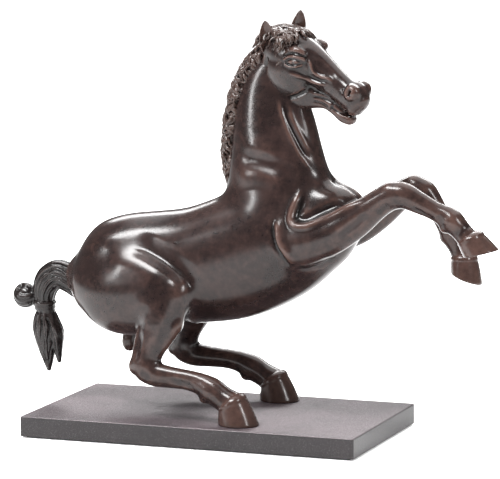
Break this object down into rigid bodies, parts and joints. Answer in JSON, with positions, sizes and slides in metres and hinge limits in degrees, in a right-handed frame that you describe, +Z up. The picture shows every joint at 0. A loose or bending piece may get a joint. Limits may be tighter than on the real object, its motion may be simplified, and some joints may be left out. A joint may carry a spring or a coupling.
{
  "type": "bronze horse statue",
  "caption": "Patinated bronze horse rearing from its hind hooves on a rectangular plinth, head turned, mane in chased locks, tail looped and tied.",
  "frame": {"origin": "centre of the underside of the baize, where the plinth rests on a table", "axes": "+Z up, +X the way the horse faces, +Y towards the horse's left side"},
  "size_m": [0.3008, 0.115, 0.2457],
  "materials": {
    "figure_bronze": "dark brown patina, waxed to a soft gloss",
    "hair_bronze": "dark brown patina, chased",
    "tail_bronze": "blackish brown patina, chased",
    "plinth_bronze": "dark patina, fine sand-cast grain",
    "plug_bronze": "dark brown patina",
    "raw_bronze": "turned, unpatinated",
    "fastening_steel": "zinc plated",
    "baize": "short-napped baize"
  },
  "bodies": {
    "root": {"plinth": "plinth_bronze", "baize_sheet": "baize", "body_casting": "figure_bronze", "neck_casting": "figure_bronze", "head_casting": "figure_bronze", "mane_strip": "hair_bronze", "tail_casting": "tail_bronze", "right_foreleg_casting": "figure_bronze", "left_foreleg_casting": "figure_bronze", "right_hind_leg_casting": "figure_bronze", "left_hind_leg_casting": "figure_bronze", "right_foreleg_dowel": "raw_bronze", "left_foreleg_dowel": "raw_bronze", "right_hind_leg_dowel": "raw_bronze", "left_hind_leg_dowel": "raw_bronze", "tail_dowel": "raw_bronze", "head_dowel": "raw_bronze", "neck_joint_sleeve": "raw_bronze", "core_pin_plugs": "plug_bronze", "right_hoof_stud": "fastening_steel", "left_hoof_stud": "fastening_steel", "right_stud_washer": "fastening_steel", "left_stud_washer": "fastening_steel", "right_stud_nut": "fastening_steel", "left_stud_nut": "fastening_steel"}
  },
  "joints": []
}
